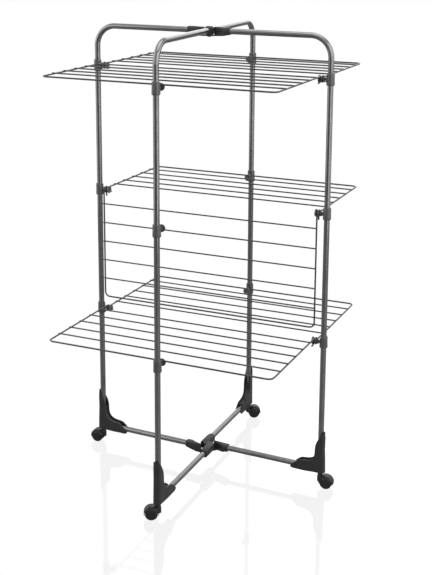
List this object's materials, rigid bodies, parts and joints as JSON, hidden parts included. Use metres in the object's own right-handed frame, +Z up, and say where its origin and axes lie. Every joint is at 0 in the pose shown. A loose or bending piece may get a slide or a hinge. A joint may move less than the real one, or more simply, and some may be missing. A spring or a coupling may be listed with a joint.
{
  "type": "tower clothes drying rack",
  "caption": "Folding tower airer: crossed tube arches on twin-wheel casters, with levels of hinged wire wings that fold down flat.",
  "frame": {"origin": "on the floor under the vertical pivot of the two arches", "axes": "+Z up; X along the first arch, whose legs carry the wing hooks; -Y toward the front leg of the second arch"},
  "size_m": [0.9362, 0.9122, 1.544],
  "materials": {
    "satin_paint": "anthracite satin powder coat on steel tube",
    "wire_paint": "dark grey coated steel wire",
    "moulded_plastic": "fine-grained dark grey moulding",
    "caster_plastic": "smooth near-black moulding",
    "plated_steel": "zinc-plated"
  },
  "bodies": {
    "frame_a": {"frame_tube_left": "satin_paint", "base_tube_left": "satin_paint", "bracket_left": "moulded_plastic", "clip_left_low": "moulded_plastic", "clip_left_mid": "moulded_plastic", "clip_left_top": "moulded_plastic", "frame_tube_right": "satin_paint", "base_tube_right": "satin_paint", "bracket_right": "moulded_plastic", "clip_right_low": "moulded_plastic", "clip_right_mid": "moulded_plastic", "clip_right_top": "moulded_plastic", "top_coupling": "moulded_plastic", "base_coupling": "moulded_plastic", "top_pivot_pin": "plated_steel", "base_pivot_pin": "plated_steel"},
    "frame_b": {"frame_tube_front": "satin_paint", "base_tube_front": "satin_paint", "bracket_front": "moulded_plastic", "clip_front_low": "moulded_plastic", "clip_front_mid": "moulded_plastic", "clip_front_top": "moulded_plastic", "frame_tube_back": "satin_paint", "base_tube_back": "satin_paint", "bracket_back": "moulded_plastic", "clip_back_low": "moulded_plastic", "clip_back_mid": "moulded_plastic", "clip_back_top": "moulded_plastic", "top_block": "moulded_plastic", "base_cross": "moulded_plastic"},
    "wing_front_low": {"wing_front_low": "wire_paint"},
    "wing_back_low": {"wing_back_low": "wire_paint"},
    "wing_front_mid": {"wing_front_mid": "wire_paint"},
    "wing_back_mid": {"wing_back_mid": "wire_paint"},
    "wing_front_top": {"wing_front_top": "wire_paint"},
    "wing_back_top": {"wing_back_top": "wire_paint"},
    "caster_left": {"caster_housing_left": "caster_plastic", "caster_stem_left": "plated_steel"},
    "wheels_left": {"caster_axle_left": "plated_steel", "caster_wheel_left_one": "caster_plastic", "caster_wheel_left_two": "caster_plastic"},
    "caster_right": {"caster_housing_right": "caster_plastic", "caster_stem_right": "plated_steel"},
    "wheels_right": {"caster_axle_right": "plated_steel", "caster_wheel_right_one": "caster_plastic", "caster_wheel_right_two": "caster_plastic"},
    "caster_front": {"caster_housing_front": "caster_plastic", "caster_stem_front": "plated_steel"},
    "wheels_front": {"caster_axle_front": "plated_steel", "caster_wheel_front_one": "caster_plastic", "caster_wheel_front_two": "caster_plastic"},
    "caster_back": {"caster_housing_back": "caster_plastic", "caster_stem_back": "plated_steel"},
    "wheels_back": {"caster_axle_back": "plated_steel", "caster_wheel_back_one": "caster_plastic", "caster_wheel_back_two": "caster_plastic"}
  },
  "joints": [
    {"name": "tower_fold", "type": "hinge", "parent": "frame_a", "child": "frame_b", "pos_m": [0, 0, 0], "axis": [0, 0, 1], "range_deg": [0, 60]},
    {"name": "low_front_wing", "type": "hinge", "parent": "frame_a", "child": "wing_front_low", "pos_m": [0, 0, 0.52], "axis": [1, 0, 0], "range_deg": [0, 90]},
    {"name": "low_back_wing", "type": "hinge", "parent": "frame_a", "child": "wing_back_low", "pos_m": [0, 0, 0.52], "axis": [-1, 0, 0], "range_deg": [0, 90]},
    {"name": "mid_front_wing", "type": "hinge", "parent": "frame_a", "child": "wing_front_mid", "pos_m": [0, 0, 0.957], "axis": [1, 0, 0], "range_deg": [-90, 0]},
    {"name": "mid_back_wing", "type": "hinge", "parent": "frame_a", "child": "wing_back_mid", "pos_m": [0, 0, 0.957], "axis": [-1, 0, 0], "range_deg": [0, 90]},
    {"name": "top_front_wing", "type": "hinge", "parent": "frame_a", "child": "wing_front_top", "pos_m": [0, 0, 1.394], "axis": [1, 0, 0], "range_deg": [0, 90]},
    {"name": "top_back_wing", "type": "hinge", "parent": "frame_a", "child": "wing_back_top", "pos_m": [0, 0, 1.394], "axis": [-1, 0, 0], "range_deg": [0, 90]},
    {"name": "left_caster_swivel", "type": "hinge", "parent": "frame_a", "child": "caster_left", "pos_m": [-0.42, 0, 0], "axis": [0, 0, 1], "continuous": true},
    {"name": "left_wheels_roll", "type": "hinge", "parent": "caster_left", "child": "wheels_left", "pos_m": [-0.44195, -0.00153, 0.021], "axis": [0.0698, -0.9976, 0], "continuous": true},
    {"name": "right_caster_swivel", "type": "hinge", "parent": "frame_a", "child": "caster_right", "pos_m": [0.42, 0, 0], "axis": [0, 0, 1], "continuous": true},
    {"name": "right_wheels_roll", "type": "hinge", "parent": "caster_right", "child": "wheels_right", "pos_m": [0.44195, 0.00153, 0.021], "axis": [-0.0698, 0.9976, 0], "continuous": true},
    {"name": "front_caster_swivel", "type": "hinge", "parent": "frame_b", "child": "caster_front", "pos_m": [0.01685, -0.41966, 0], "axis": [0, 0, 1], "continuous": true},
    {"name": "front_wheels_roll", "type": "hinge", "parent": "caster_front", "child": "wheels_front", "pos_m": [-0.00275, -0.42965, 0.021], "axis": [0.454, -0.891, 0], "continuous": true},
    {"name": "back_caster_swivel", "type": "hinge", "parent": "frame_b", "child": "caster_back", "pos_m": [-0.01685, 0.41966, 0], "axis": [0, 0, 1], "continuous": true},
    {"name": "back_wheels_roll", "type": "hinge", "parent": "caster_back", "child": "wheels_back", "pos_m": [0.00275, 0.42965, 0.021], "axis": [-0.454, 0.891, 0], "continuous": true}
  ],
  "couplings": [
    {"joint": "low_front_wing", "follows": "tower_fold", "ratio": 1.5},
    {"joint": "low_back_wing", "follows": "tower_fold", "ratio": 1.5},
    {"joint": "mid_back_wing", "follows": "tower_fold", "ratio": 1.5},
    {"joint": "top_front_wing", "follows": "tower_fold", "ratio": 1.5},
    {"joint": "top_back_wing", "follows": "tower_fold", "ratio": 1.5}
  ]
}
